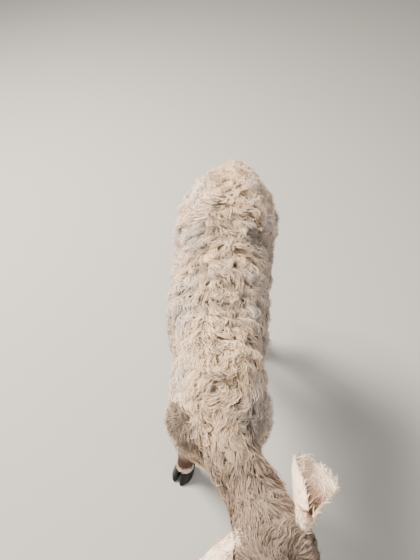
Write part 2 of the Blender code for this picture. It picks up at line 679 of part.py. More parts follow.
def make_calf():
    clear_scene()
    rng = random.Random(41)
    axes = head_axes()
    calf = bpy.data.collections.new("braunvieh_calf")
    bpy.context.scene.collection.children.link(calf)

    # The whole animal as one skin, with the face again as a finer skin of its own
    legs = (
        ("foreleg_left", FORE_LEG, 1, False, FORE_CUT, 0),
        ("foreleg_right", RIGHT_FORE_LEG, -1, False, FORE_CUT, RIGHT_FOOT_TURN),
        ("hindleg_left", HIND_LEG, 1, True, HIND_CUT, 0),
        ("hindleg_right", HIND_LEG, -1, True, HIND_CUT, 0),
    )
    forms = [torso_form(), neck_form("neck_form")] + head_forms(axes)
    forms += [leg_form(name + "_form", sections, side, behind)
              for name, sections, side, behind, top, turn in legs]
    body = fused("body", forms, 0.006, 10, 3700)
    head_whole = fused("head_whole", head_forms(axes) + [neck_form("nape_form")], 0.003, 6, 2000)

    # The coat's clumps grow from the skin before it is parted
    bare_head = copied(head_whole, "bare_head")
    skin = BVHTree.FromObject(body, bpy.context.evaluated_depsgraph_get())
    skull = BVHTree.FromObject(head_whole, bpy.context.evaluated_depsgraph_get())
    body = united("body", [body] + coat_curls(skin, rng))
    head_whole = united("head_whole", [head_whole] + poll_curls(skull, axes, rng))

    # Thin cuts part the skin: neck from torso, head from neck, each leg below the chest
    shoulder_line = region_box("shoulder_line", Vector((0, -0.205, 0.74)), direction(0, -0.953, 0.303))
    shoulder_back = region_box("shoulder_back", Vector((0, -0.205 + GAP, 0.74)),
                               direction(0, -0.953, 0.303))
    nape_line = region_box("nape_line", Vector((0, -0.343, 0.67)), direction(0, -1, 0))
    nape_back = region_box("nape_back", Vector((0, -0.343 + GAP, 0.67)), direction(0, -1, 0))
    pieces = {}
    head = copied(head_whole, "head")
    boolean(head, nape_line, "INTERSECT")
    pieces["head"] = detailed_head(head, axes)
    neck = copied(body, "neck")
    boolean(neck, shoulder_line, "INTERSECT")
    boolean(neck, nape_back, "DIFFERENCE")
    pieces["neck"] = largest_surface(neck)

    torso = copied(body, "torso")
    boolean(torso, shoulder_back, "DIFFERENCE")
    for name, sections, side, behind, top, turn in legs:
        spine = rear_sway(sections[-2][1]) if behind else 0.0
        outward = Matrix.Rotation(math.radians(turn), 4, "Z")
        foot = Matrix.Translation((spine + side * sections[-2][0], sections[-2][1], 0)) @ outward
        box = leg_box(name + "_box", side, behind, top)
        leg = copied(body, name)
        boolean(leg, box, "INTERSECT")
        bpy.data.objects.remove(box)
        sole = region_box("sole", foot @ Vector((0, 0, coronet_level(0))),
                          outward.to_3x3() @ direction(0, -0.28, -1), 0.2)
        boolean(leg, sole, "DIFFERENCE")
        bpy.data.objects.remove(sole)
        low = Matrix.Translation((spine + side * sections[-4][0], sections[-4][1], sections[-4][2])) @ outward
        for n, way in enumerate((1, -1)):
            pocket = dewclaw("pocket", low, way, GAP)
            boolean(leg, pocket, "DIFFERENCE")
            bpy.data.objects.remove(pocket)
            claw_name = name.replace("leg", "") + ("_a", "_b")[n]
            pieces["dewclaw_" + claw_name] = dewclaw("dewclaw_" + claw_name, low, way)
            pieces["claw_" + claw_name] = claw("claw_" + claw_name, foot, way)
        pieces[name] = largest_surface(leg)
        box = leg_box(name + "_box", side, behind, top + GAP)
        boolean(torso, box, "DIFFERENCE")
        bpy.data.objects.remove(box)

    # Ears, eyes and tail stand on the skin with the same gap
    for side, name in ((1, "left"), (-1, "right")):
        own = eye_axes(axes, side)
        pieces["eye_" + name] = ball("eye_" + name, own, [EYE_RADIUS] * 3, 14, 8)
    skull = inflated(bare_head, "skull_grown")
    for name, base, tip, opening, tip_opening in EARS:
        ear = ear_mesh(name, Vector(base), Vector(tip), Vector(opening), Vector(tip_opening))
        boolean(ear, skull, "DIFFERENCE")
        pieces[name] = largest_surface(ear)
    bpy.data.objects.remove(skull)
    stem = loft("tail", path_rings(smooth_rows(TAIL, 2), 9))
    socket = inflated(stem, "tail_socket", 2.5 * GAP)
    boolean(torso, socket, "DIFFERENCE")
    pieces["torso"] = largest_surface(torso)
    end = region_box("tail_end", Vector((0, 0, SWITCH_LEVEL)), direction(0, 0, -1))
    boolean(stem, end, "DIFFERENCE")
    pieces["tail"] = largest_surface(stem)
    end.location.z -= GAP
    switch = united("tail_switch", switch_forms(rng))
    boolean(switch, end, "INTERSECT")
    pieces["tail_switch"] = largest_surface(switch)
    for helper in (socket, end, body, head_whole, bare_head, shoulder_line, shoulder_back, nape_line, nape_back):
        bpy.data.objects.remove(helper)

    coats = {"foreleg": "coat_leg", "hindleg": "coat_leg", "ear": "coat_ear", "eye": "eye_dark",
             "claw": "horn_black", "dewclaw": "horn_black"}
    low, high = Vector((9, 9, 9)), Vector((-9, -9, -9))
    for name, obj in pieces.items():
        obj.name = name
        obj.data.name = name
        finish(obj, coats.get(name.split("_")[0], "coat_silver"))
        for vert in obj.data.vertices:
            low = Vector(map(min, low, vert.co))
            high = Vector(map(max, high, vert.co))
        bpy.context.scene.collection.objects.unlink(obj)
        calf.objects.link(obj)
    shift = Matrix.Translation((-(low.x + high.x) / 2, -(low.y + high.y) / 2, -low.z))
    for obj in pieces.values():
        obj.data.transform(shift)


make_calf()
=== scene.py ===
"""The looks of the Original Braunvieh calf: skin, curly coat, eyes, ears and hooves over its solids."""

import math

import bpy
import numpy as np
from mathutils import Matrix, Vector, kdtree


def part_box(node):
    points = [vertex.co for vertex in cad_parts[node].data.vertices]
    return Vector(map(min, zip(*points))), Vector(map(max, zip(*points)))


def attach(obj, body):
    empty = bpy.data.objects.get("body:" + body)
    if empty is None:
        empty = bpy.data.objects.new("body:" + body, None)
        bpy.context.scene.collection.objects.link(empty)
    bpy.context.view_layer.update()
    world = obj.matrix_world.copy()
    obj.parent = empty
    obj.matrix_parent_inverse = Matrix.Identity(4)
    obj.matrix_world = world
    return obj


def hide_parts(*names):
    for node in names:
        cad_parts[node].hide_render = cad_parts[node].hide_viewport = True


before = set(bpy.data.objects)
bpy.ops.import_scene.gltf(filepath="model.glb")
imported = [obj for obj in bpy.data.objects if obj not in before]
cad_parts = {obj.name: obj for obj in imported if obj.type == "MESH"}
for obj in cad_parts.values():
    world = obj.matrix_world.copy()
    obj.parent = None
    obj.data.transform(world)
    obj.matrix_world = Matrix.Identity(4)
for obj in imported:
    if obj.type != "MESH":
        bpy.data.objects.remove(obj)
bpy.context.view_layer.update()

FLESH = ("torso", "neck", "head", "tail", "foreleg_left", "foreleg_right", "hindleg_left", "hindleg_right")
FULL_TURN = 6.283

# The calf's own frame starts on the floor under its middle, with x to its left and y to its tail.
# The left fore foot's left and front edges there give the shift to the solids' frame.
CLAW_LEFT, CLAW_FRONT = 0.1189, -0.208
claw_low, claw_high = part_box("claw_fore_left_a")
SHIFT = Vector((claw_high.x - CLAW_LEFT, claw_low.y - CLAW_FRONT, 0.0))

# The head hangs from the poll, turned to its left and bowed
POLL = Vector((0.064, -0.393, 0.736))
HEAD_TURN, HEAD_BOW = math.radians(10), math.radians(40)
HEAD = Matrix.Translation(SHIFT + POLL) @ Matrix.Rotation(HEAD_TURN, 4, "Z")
HEAD = HEAD @ Matrix.Rotation(HEAD_BOW, 4, "X")
HEAD_INVERSE = HEAD.inverted()

# Each ear's root and tip, and the way its cup opens at the root and at the tip
EARS = {
    "ear_left": (
        (0.098, -0.365, 0.708), (0.134, -0.284, 0.644),
        (0.60, 0.30, 0.70), (0.42, 0.40, 0.80),
    ),
    "ear_right": (
        (0.026, -0.388, 0.703), (-0.043, -0.480, 0.658),
        (-0.62, 0.20, -0.74), (-0.62, 0.20, -0.74),
    ),
}
EAR_LENGTH = 0.108
EAR_LEAN = 0.009
EAR_ROUNDING = 0.014

# The opening between the lids: half its width, its heights, and how much lower it is at the corners
LID_ACROSS, LID_ABOVE, LID_BELOW, LID_CORNERS = 0.0152, 0.0096, 0.0088, 0.30

# A nostril as a hollow and its comma tail: place in the head's axes, tilt, sizes
NOSTRIL = (
    ((0.0225, -0.2165, -0.0430), 24, (0.0050, 0.0105, 0.0078)),
    ((0.0285, -0.2120, -0.0385), 62, (0.0026, 0.0080, 0.0070)),
)
NOSTRIL_TURN = math.radians(28)

# The mouth's wedge in the head's axes: its middle, half sizes and tilt
MOUTH_REACH, MOUTH_SIZES, MOUTH_TILT = -0.2110, (0.060, 0.0490, 0.0007), math.radians(4)

# Places on the back where the curls part and their darker roots show, painted darker partly as shade in the
# dips: x, y and reach
PARTINGS = (
    (0.005, 0.204, 0.013), (0.049, 0.204, 0.015), (0.066, 0.115, 0.017), (-0.015, 0.080, 0.013),
    (-0.026, 0.046, 0.015), (0.006, 0.053, 0.012), (0.020, -0.060, 0.009), (-0.004, -0.140, 0.011),
)

# Patches of the coat: centre and radii
SMOOTH_ARM = ((-0.064, -0.228, 0.638), (0.042, 0.048, 0.072))
# The left shoulder's bluish grey is painted light: cool light and sheen on the hair, with shade between the
# locks
COOL_LIT_SHOULDER = ((0.058, -0.222, 0.690), (0.032, 0.050, 0.060))

# Depth of the coat over the skin, on short hair, and what curls and the rump's curls add
SHORT_DEPTH, CURL_DEPTH, RUMP_DEPTH = 0.0012, 0.0072, 0.0025

# The coat's hair: length, height over the skin and width, for short hair and what curls add
SHORT_LENGTH, CURL_LENGTH = 0.0075, 0.0190
SHORT_HEIGHT, CURL_HEIGHT = 0.0014, 0.0108
SHORT_WIDTH, CURL_WIDTH = 0.00085, 0.00020
LOCK_SPACING, LOCK_REACH = 0.0155, 0.0115
RIPPLE_SPACING = 0.024
ROOT_DEPTH = 0.0012
CURLY_LIMIT = 0.30

# Places for hair on each square metre
LONG_DENSITY = 58000
SHORT_DENSITY = 210000
EAR_DENSITY = 190000.0
LONG_SPACING = 0.0026

SWITCH_HAIRS = 1500

# Coat colours, sRGB
CREAM = "f4d3ab"
SILVER = "b09b88"
FAWN = "8f7663"
BROWN = "553524"
DARK_BROWN = "33241b"
PALE = "e3cfb5"
NOSE_BLACK = "1d1917"
EAR_WHITE = "f5dcc3"
# Pinkish brown of the ear's inner skin, darker as painted shade deep in the cup
EAR_PINK_AND_SHADE = "9a6f55"
ARM_BROWN = "7d6a5c"
NECK_GREY = "7c6a5d"
# Brown of the hair roots, also laid on as painted shade where the curls part
SHADED_ROOT_BROWN = "87725f"
# Bluish grey for painted cool light and shade
COOL_LIGHT_GREY = "a29a93"
COOL_WHITE = "d6c8c1"
EYE_BROWN = "2f1a10"
PUPIL = "050405"
HORN_BLACK = "080605"
FLOOR_GREY = "aba8a3"


def eye_place(node):
    """An eye's centre and radius."""
    low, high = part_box(node)
    return (low + high) / 2, (high - low).z / 2


EYES = {1: eye_place("eye_left"), -1: eye_place("eye_right")}


def linear(code):
    """A six-figure sRGB code as linear red, green and blue."""
    parts = [int(code[i:i + 2], 16) / 255 for i in (0, 2, 4)]
    return np.array([c / 12.92 if c <= 0.04045 else ((c + 0.055) / 1.055) ** 2.4 for c in parts])


def plain(code, count):
    """The same colour for count points."""
    return np.tile(linear(code), (count, 1))


def deselect():
    bpy.ops.object.select_all(action="DESELECT")


def only(obj):
    deselect()
    obj.select_set(True)
    bpy.context.view_layer.objects.active = obj


def modified(obj, kind, **settings):
    """Adds a modifier with these settings and applies it."""
    only(obj)
    modifier = obj.modifiers.new(kind.title(), kind)
    for key, value in settings.items():
        setattr(modifier, key, value)
    bpy.ops.object.modifier_apply(modifier=modifier.name)
    return obj


def smoothstep(low, high, value):
    t = np.clip((value - low) / (high - low), 0, 1)
    return t * t * (3 - 2 * t)


def rear_sway(y):
    """Sideways place of the spine at y: straight in front, then to the calf's left towards the tail."""
    own = y - SHIFT.y
    return SHIFT.x + 0.05 * (own + np.hypot(own, 0.05)) + 1.65 * np.maximum(own - 0.25, 0) ** 2


def noise(points, scale, seed):
    """Smooth random values from -1 to 1, sums of slanting waves."""
    local = np.random.default_rng(seed)
    total = np.zeros(len(points))
    for _ in range(9):
        wave = local.normal(size=3)
        wave *= (0.6 + 0.9 * local.random()) / np.linalg.norm(wave) * 2 * math.pi / scale
        total += np.sin(points @ wave + local.random() * FULL_TURN)
    return np.clip(total / 3.6, -1, 1)


def placed(matrix, points):
    """Points turned and moved by a matrix."""
    matrix = np.array(matrix)
    return points @ matrix[:3, :3].T + matrix[:3, 3]


def in_head(points):
    """Points in the head's own axes: poll at the origin, nose along -Y, left +X."""
    return placed(HEAD_INVERSE, points)


def off_patch(points, patch):
    """Distance from a patch's centre, in its radii."""
    centre, radii = patch
    return np.linalg.norm((points - np.array(SHIFT + Vector(centre))) / np.array(radii), axis=1)


def smooth_arm(points):
    """1 on the short smooth hair of the right upper fore leg."""
    found = smoothstep(1.12, 0.85, off_patch(points, SMOOTH_ARM) + 0.10 * noise(points, 0.05, 41))
    return found * smoothstep(0.588, 0.602, points[:, 2])


def parted(points):
    """1 where the curls of the back part down to their roots."""
    own = points - np.array(SHIFT)
    found = np.zeros(len(points))
    for x, y, reach in PARTINGS:
        off = np.hypot(own[:, 0] - x, 0.8 * (own[:, 1] - y)) / reach
        found = np.maximum(found, smoothstep(1.25, 0.35, off + 0.25 * noise(points, 0.03, 43)))
    return found * smoothstep(0.66, 0.69, own[:, 2])


def limited(colours):
    """Colours kept under full brightness without a change of hue."""
    return np.maximum(colours, 0) / np.maximum(1, colours.max(-1, keepdims=True) / 0.95)


def mix(first, second, amount):
    amount = np.asarray(amount)[:, None]
    return first * (1 - amount) + second * amount


def layered(colours, layers):
    """Colours with each layer of (code, amount) laid over the last."""
    for code, amount in layers:
        colours = mix(colours, linear(code), amount)
    return colours


def body_layers(points, own_y, patchy, fine):
    """Silver over cream, a grey neck, cool patches beside the spine, brown roots partly as painted shade,
    two shoulder patches: a bluish one of painted cool light and shade, and a brown one.
    """
    z = points[:, 2]
    neck = smoothstep(-0.20, -0.30, own_y + 0.02 * patchy) * smoothstep(0.585, 0.680, z + 0.02 * fine)
    beside_spine = smoothstep(0.012, 0.055, np.abs(points[:, 0] - rear_sway(points[:, 1])))
    beside_spine *= smoothstep(-0.30, -0.20, own_y)
    rump = smoothstep(0.06, 0.16, own_y) * smoothstep(0.60, 0.68, z)
    return (
        (SILVER, 0.28 + 0.30 * patchy + 0.16 * fine),
        (NECK_GREY, 0.88 * neck),
        (COOL_WHITE, 0.75 * beside_spine * (0.55 + 0.45 * noise(points, 0.075, 6))),
        # Brown roots on the rump and in the partings: partly the roots' own colour, partly painted shade in
        # the dips between tufts
        (SHADED_ROOT_BROWN, 0.50 * rump * smoothstep(0.25, 0.85, noise(points, 0.065, 5))),
        (SHADED_ROOT_BROWN, 0.60 * parted(points)),
        # Painted cool light and shade on the left shoulder
        (COOL_LIGHT_GREY, 0.60 * smoothstep(1.3, 0.6, off_patch(points, COOL_LIT_SHOULDER))),
        (ARM_BROWN, 0.90 * smooth_arm(points)),
    )


def leg_layers(z, own_y, patchy, fine):
    """Greyish fawn above, reddish brown below, a dark pastern and a pale ring at the coronet."""
    return (
        (FAWN, 0.75 * (1 - smoothstep(0.34, 0.50 + 0.08 * (own_y < 0), z + 0.02 * patchy))),
        (BROWN, 0.92 * (1 - smoothstep(0.10, 0.20, z + 0.012 * patchy))),
        (DARK_BROWN, 0.45 * (smoothstep(0.125, 0.105, z) * smoothstep(0.058, 0.066, z + 0.004 * fine))),
        (PALE, 0.85 * smoothstep(0.063, 0.055, z + 0.004 * fine)),
    )


def face_layers(points, head, own_y, fine):
    """Fawn grey, pale behind the nose pad, dark round the eyes with a pale edge, and a black nose."""
    reach = -head[:, 1]
    on_head = smoothstep(-0.02, 0.03, reach) * (own_y < -0.33)
    layers = [
        (NECK_GREY, 0.70 * on_head),
        (FAWN, 0.45 * on_head * smoothstep(0.06, 0.13, reach)),
        (PALE, 0.92 * (smoothstep(0.142, 0.182, reach + 0.008 * fine) * on_head)),
    ]
    for centre, _ in EYES.values():
        away = np.linalg.norm(points - np.array(centre), axis=1)
        layers.append((DARK_BROWN, 0.88 * smoothstep(0.0235, 0.0185, away)))
        layers.append((PALE, 0.20 * smoothstep(0.040, 0.028, away) * smoothstep(0.021, 0.024, away)))
    return layers + [(NOSE_BLACK, nose_pad(head))]


def markings(points):
    """The coat's colour at each place: the same for the skin and for the hair that grows from it."""
    patchy, fine = noise(points, 0.11, 3), noise(points, 0.035, 4)
    own_y = points[:, 1] - SHIFT.y
    colours = layered(plain(CREAM, len(points)), body_layers(points, own_y, patchy, fine))
    colours = layered(colours, leg_layers(points[:, 2], own_y, patchy, fine))
    return layered(colours, face_layers(points, in_head(points), own_y, fine))


def nose_pad(head):
    """1 on the bare black nose pad and lip edges, in the head's own axes."""
    reach, across, up = -head[:, 1], np.abs(head[:, 0]), head[:, 2]
    sides = 5 * np.maximum(across - 0.026, 0) ** 1.5
    front = smoothstep(0.2000, 0.2035, reach + 0.10 * (up + 0.045) - sides)
    upper = smoothstep(-0.0655, -0.0625, up)
    off_lips = np.abs(up + 0.0655 + 0.07 * (reach - 0.2))
    lips = smoothstep(0.176, 0.190, reach) * smoothstep(0.0050, 0.0025, off_lips)
    return np.clip(front * upper + lips, 0, 1)


def mesh_object(name, points, faces):
    """An object from arrays: points (n, 3) and faces (m, 4)."""
    mesh = bpy.data.meshes.new(name)
    faces = np.asarray(faces, np.int32)
    corners = faces.shape[1]
    mesh.vertices.add(len(points))
    mesh.vertices.foreach_set("co", np.asarray(points, np.float32).ravel())
    mesh.loops.add(faces.size)
    mesh.loops.foreach_set("vertex_index", faces.ravel())
    mesh.polygons.add(len(faces))
    mesh.polygons.foreach_set("loop_start", np.arange(0, faces.size, corners, dtype=np.int32))
    mesh.polygons.foreach_set("use_smooth", np.ones(len(faces), bool))
    mesh.update(calc_edges=True)
    obj = bpy.data.objects.new(name, mesh)
    bpy.context.scene.collection.objects.link(obj)
    return obj


def vertex_values(obj, key):
    found = np.empty(len(obj.data.vertices) * 3, np.float32)
    obj.data.vertices.foreach_get(key, found)
    return found.reshape(-1, 3).astype(float)


def coordinates(obj):
    return vertex_values(obj, "co")


def normals(obj):
    return vertex_values(obj, "normal")


def set_coordinates(obj, points):
    obj.data.vertices.foreach_set("co", np.asarray(points, np.float32).ravel())
    obj.data.update()


def paint(obj, colours):
    """Keeps a colour for each vertex, for the material to read."""
    opaque = np.column_stack((colours, np.ones(len(colours))))
    layer = obj.data.color_attributes.new("coat_colour", "FLOAT_COLOR", "POINT")
    layer.data.foreach_set("color", opaque.astype(np.float32).ravel())


def weigh(obj, name, weights):
    """A vertex group with a weight for each vertex, in sixteen steps."""
    group = obj.vertex_groups.new(name=name)
    steps = np.round(np.clip(weights, 0, 1) * 16).astype(int)
    for step in range(1, 17):
        group.add(np.nonzero(steps == step)[0].tolist(), step / 16, "REPLACE")


def copy_of(node, name):
    twin = bpy.data.objects.new(name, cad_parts[node].data.copy())
    twin.data.materials.clear()
    bpy.context.scene.collection.objects.link(twin)
    return twin


def eye_axes(side):
    """From an eye's own axes, looking along -Y with the lids' corners on X, to the solids' frame."""
    turn = HEAD.to_3x3().to_4x4() @ Matrix.Rotation(side * math.radians(68), 4, "Z")
    turn = turn @ Matrix.Rotation(math.radians(-4), 4, "X")
    turn = turn @ Matrix.Rotation(side * math.radians(16), 4, "Y")
    return Matrix.Translation(EYES[side][0]) @ turn


def sphere(name, matrix, sizes, segments, rings):
    deselect()
    bpy.ops.mesh.primitive_uv_sphere_add(segments=segments, ring_count=rings, radius=1)
    obj = bpy.context.object
    obj.name = name
    obj.data.transform(matrix @ Matrix.Diagonal((*sizes, 1)))
    return obj


def join(name, pieces):
    deselect()
    for piece in pieces:
        piece.select_set(True)
    bpy.context.view_layer.objects.active = pieces[0]
    bpy.ops.object.join()
    pieces[0].name = name
    return pieces[0]


def cut_away(obj, cutter):
    modified(obj, "BOOLEAN", operation="DIFFERENCE", solver="MANIFOLD", object=cutter)
    bpy.data.objects.remove(cutter)


# Skin: the flesh solids grown over their cuts, fused, and sunk by the depth of the coat

def on_tail(points):
    """1 on the hanging tail, behind the rump."""
    behind = smoothstep(0.366, 0.374, points[:, 1] - SHIFT.y)
    return behind * smoothstep(0.030, 0.022, np.abs(points[:, 0] - SHIFT.x - 0.048))


def curly_share(points):
    """1 where the coat is long and curled, 0 where it is short and flat."""
    z, own_y = points[:, 2], points[:, 1] - SHIFT.y
    head = in_head(points)
    body = smoothstep(0.40, 0.54, z) * smoothstep(-0.385, -0.31, own_y)
    crown = smoothstep(0.080, 0.030, -head[:, 1]) * smoothstep(-0.050, -0.015, head[:, 2]) * (own_y < -0.30)
    body *= (1 - 0.75 * on_tail(points)) * (1 - 0.80 * smooth_arm(points))
    return np.maximum(body, 0.45 * crown)


def coat_depth(points):
    """How far the coat stands over the skin: deep curls on the body, short hair on face and feet."""
    rear = smoothstep(0.24, 0.32, points[:, 1] - SHIFT.y)
    curls = (CURL_DEPTH + RUMP_DEPTH * rear) * curly_share(points) * (1 - 0.8 * on_tail(points))
    return SHORT_DEPTH + curls


def lid_edge(turns, scale=1.0):
    """Places across and up on the edge of the lids' opening, at turns round it."""
    across, up = np.cos(turns), np.sin(turns)
    height = np.where(up > 0, LID_ABOVE, LID_BELOW)
    return LID_ACROSS * across * scale, height * up * (1 - LID_CORNERS * across ** 2) * scale


def almond(name, matrix):
    """The opening between the lids, as a prism that widens outwards along -Y."""
    deselect()
    bpy.ops.mesh.primitive_cylinder_add(vertices=40, radius=1, depth=1)
    obj = bpy.context.object
    obj.name = name
    points = coordinates(obj)
    outer = points[:, 2] > 0
    x, z = lid_edge(np.arctan2(points[:, 1], points[:, 0]), np.where(outer, 1.4, 0.6))
    set_coordinates(obj, np.column_stack((x, np.where(outer, -0.030, -0.004), z)))
    obj.data.transform(matrix)
    return obj


def mouth_slit():
    """A thin curved wedge along the line between the lips."""
    deselect()
    bpy.ops.mesh.primitive_cube_add(size=2)
    slit = bpy.context.object
    slit.name = "mouth"
    slit.data.transform(Matrix.Translation((0, MOUTH_REACH, 0)) @ Matrix.Diagonal((*MOUTH_SIZES, 1)))
    modified(slit, "SUBSURF", subdivision_type="SIMPLE", levels=5)
    points = coordinates(slit)
    reach, across = -points[:, 1], np.abs(points[:, 0])
    corners, middle = smoothstep(0.200, 0.166, reach), smoothstep(0.024, 0.0, across)
    points[:, 2] += -0.0622 - 0.0035 * corners - 0.0030 * middle
    points[:, 2] += 0.0022 * np.sin((reach - 0.162) * 70)
    set_coordinates(slit, points)
    slit.data.transform(HEAD @ Matrix.Rotation(MOUTH_TILT, 4, "X"))
    return slit


def fused_flesh():
    """The flesh nodes and the lids' domes as one even mesh."""
    pieces = [copy_of(node, "skin_" + node) for node in FLESH]
    for side, (_, radius) in EYES.items():
        own = eye_axes(side)
        pieces.append(sphere("lids", own, [radius + 0.0030] * 3, 48, 32))
        pieces.append(sphere("socket_fill", own, [radius + 0.0008] * 3, 24, 16))
    skin = join("skin", pieces)
    modified(skin, "DISPLACE", mid_level=0, strength=0.0004)
    return modified(skin, "REMESH", mode="VOXEL", voxel_size=0.0021)


def narrowed(points):
    """The skin drawn in at the brisket's right side and towards the end of the rump."""
    own = points - np.array(SHIFT)
    brisket = smoothstep(-0.350, -0.310, own[:, 1]) * smoothstep(-0.235, -0.265, own[:, 1])
    level = smoothstep(0.675, 0.640, own[:, 2]) * smoothstep(0.50, 0.56, own[:, 2])
    brisket *= level * smoothstep(0.0, -0.02, own[:, 0])
    points[:, 0] += 0.012 * brisket
    spine = rear_sway(points[:, 1])
    rump_end = smoothstep(0.200, 0.330, own[:, 1]) * smoothstep(0.64, 0.70, own[:, 2])
    rump_end *= 1 - on_tail(points)
    points[:, 0] = spine + (points[:, 0] - spine) * (1 - 0.10 * rump_end)
    return points


def open_face(skin):
    """Cuts the eye sockets, the lids' openings, the nostrils and the line of the mouth."""
    for side, (_, radius) in EYES.items():
        own = eye_axes(side)
        cut_away(skin, sphere("socket", own, [radius + 0.0003] * 3, 48, 32))
        cut_away(skin, almond("opening", own))
        for place, tilt, sizes in NOSTRIL:
            nostril = HEAD @ Matrix.Translation((side * place[0], place[1], place[2]))
            nostril = nostril @ Matrix.Rotation(side * NOSTRIL_TURN, 4, "Z")
            nostril = nostril @ Matrix.Rotation(side * math.radians(tilt), 4, "Y")
            cut_away(skin, sphere("nostril", nostril, sizes, 32, 20))
    cut_away(skin, mouth_slit())


def make_skin():
    skin = fused_flesh()
    points = coordinates(skin)
    weigh(skin, "curly", curly_share(points) * (1 - on_tail(points)))
    modified(skin, "SMOOTH", factor=0.5, iterations=90, vertex_group="curly")
    modified(skin, "SMOOTH", factor=0.5, iterations=9)
    points = coordinates(skin)
    points -= normals(skin) * coat_depth(points)[:, None]
    set_coordinates(skin, narrowed(points))
    modified(skin, "SMOOTH", factor=0.5, iterations=2)
    # Fewer faces, and fewest under the curls, which hide them
    weigh(skin, "thin_out", curly_share(coordinates(skin)))
    modified(skin, "DECIMATE", ratio=0.50, vertex_group="thin_out", use_collapse_triangulate=True)
    skin.vertex_groups.clear()
    modified(skin, "DECIMATE", ratio=0.80, use_collapse_triangulate=True)
    open_face(skin)
    only(skin)
    bpy.ops.object.shade_smooth_by_angle(angle=math.radians(50))
    places = coordinates(skin)
    # The skin is painted darker under the curls: partly the roots' darker colour, partly painted shade
    # under the coat
    paint(skin, markings(places) * (1 - 0.28 * curly_share(places))[:, None])
    skin.data.materials.clear()
    skin.data.materials.append(SKIN)
    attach(skin, "root")
    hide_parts(*FLESH)
    return skin


# Materials

def feed(tree, node, inputs):
    """Gives a node's inputs their values, or links them to other nodes' outputs."""
    for key, value in inputs.items():
        if isinstance(value, bpy.types.NodeSocket):
            tree.links.new(value, node.inputs[key])
        else:
            node.inputs[key].default_value = value


def add(tree, kind, inputs, **settings):
    """Adds a node with its inputs and settings."""
    node = tree.nodes.new(kind)
    for key, value in settings.items():
        setattr(node, key, value)
    feed(tree, node, inputs)
    return node


def new_material(name):
    """A material, its node tree and its surface shader."""
    material = bpy.data.materials.new(name)
    material.use_nodes = True
    return material, material.node_tree, material.node_tree.nodes["Principled BSDF"]


def streaks_along(tree):
    """About five fine hairs along each ribbon, from the place on it that its vertices keep."""
    kept = add(tree, "ShaderNodeAttribute", {}, attribute_name="strand")
    spread = add(tree, "ShaderNodeVectorMath", {0: kept.outputs["Vector"], 1: (5.0, 1.3, 61.0)},
                 operation="MULTIPLY")
    return add(tree, "ShaderNodeTexNoise", {"Vector": spread.outputs["Vector"], "Scale": 1.0, "Detail": 2})


def specks_over(tree):
    """Hair ends of about 2 mm all over a skin, coarser than life so that they show."""
    place = add(tree, "ShaderNodeTexCoord", {})
    return add(tree, "ShaderNodeTexNoise", {"Vector": place.outputs["Object"], "Scale": 420, "Detail": 3})


def hair_material(name, roughness, gain, pattern):
    """Soft, hardly shining hair in the colour that each vertex keeps, lighter and darker in a pattern."""
    material, tree, shader = new_material(name)
    kept = add(tree, "ShaderNodeAttribute", {}, attribute_name="coat_colour")
    hairs = pattern(tree).outputs["Fac"]
    shade = add(tree, "ShaderNodeMapRange", {
        "Value": hairs, "From Min": 0.25, "From Max": 0.75, "To Min": 1 - gain, "To Max": 1 + gain,
    })
    tint = add(tree, "ShaderNodeVectorMath", {0: kept.outputs["Color"], "Scale": shade.outputs["Result"]},
               operation="SCALE")
    relief = add(tree, "ShaderNodeBump", {"Height": hairs, "Strength": 0.5, "Distance": 0.0015})
    feed(tree, shader, {
        "Base Color": tint.outputs["Vector"],
        "Roughness": roughness,
        "Specular IOR Level": 0.25,
        "Sheen Weight": 0.15,
        "Sheen Roughness": 0.5,
        "Sheen Tint": tint.outputs["Vector"],
        "Normal": relief.outputs["Normal"],
    })
    return material


def plain_material(name, code, roughness, coat=0.0, specular=0.5):
    material, tree, shader = new_material(name)
    feed(tree, shader, {
        "Base Color": (*linear(code), 1),
        "Roughness": roughness,
        "Specular IOR Level": specular,
        "Coat Weight": coat,
        "Coat Roughness": 0.03,
    })
    return material


def eye_material():
    """A wet ball: a clear, sharp gloss over the dark colours that each vertex keeps."""
    material = plain_material("wet dark eye", PUPIL, 0.10, 0.35, specular=0.30)
    tree = material.node_tree
    kept = add(tree, "ShaderNodeAttribute", {}, attribute_name="coat_colour")
    feed(tree, tree.nodes["Principled BSDF"], {"Base Color": kept.outputs["Color"]})
    return material


def horn_material():
    """Black horn with growth rings about 6 mm apart and a worn, uneven polish."""
    material = plain_material("black horn", HORN_BLACK, 0.30, 0.05, specular=0.16)
    tree = material.node_tree
    place = add(tree, "ShaderNodeTexCoord", {}).outputs["Object"]
    rings = add(tree, "ShaderNodeTexWave", {"Vector": place, "Scale": 48, "Distortion": 3.0, "Detail": 2},
                bands_direction="Z")
    wear = add(tree, "ShaderNodeTexNoise", {"Vector": place, "Scale": 160})
    polish = add(tree, "ShaderNodeMapRange", {"Value": wear.outputs["Fac"], "To Min": 0.16, "To Max": 0.30})
    relief = add(tree, "ShaderNodeBump", {
        "Height": rings.outputs["Fac"], "Strength": 0.10, "Distance": 0.0005,
    })
    feed(tree, tree.nodes["Principled BSDF"], {
        "Roughness": polish.outputs["Result"], "Normal": relief.outputs["Normal"],
    })
    return material


SKIN = hair_material("short calf hair on skin", 0.75, 0.22, specks_over)
COAT = hair_material("curly calf hair", 0.62, 0.32, streaks_along)
WET_EYE = eye_material()
HORN = horn_material()


# Coat: thin overlapping ribbons in locks, gathered into curls and lying along the body

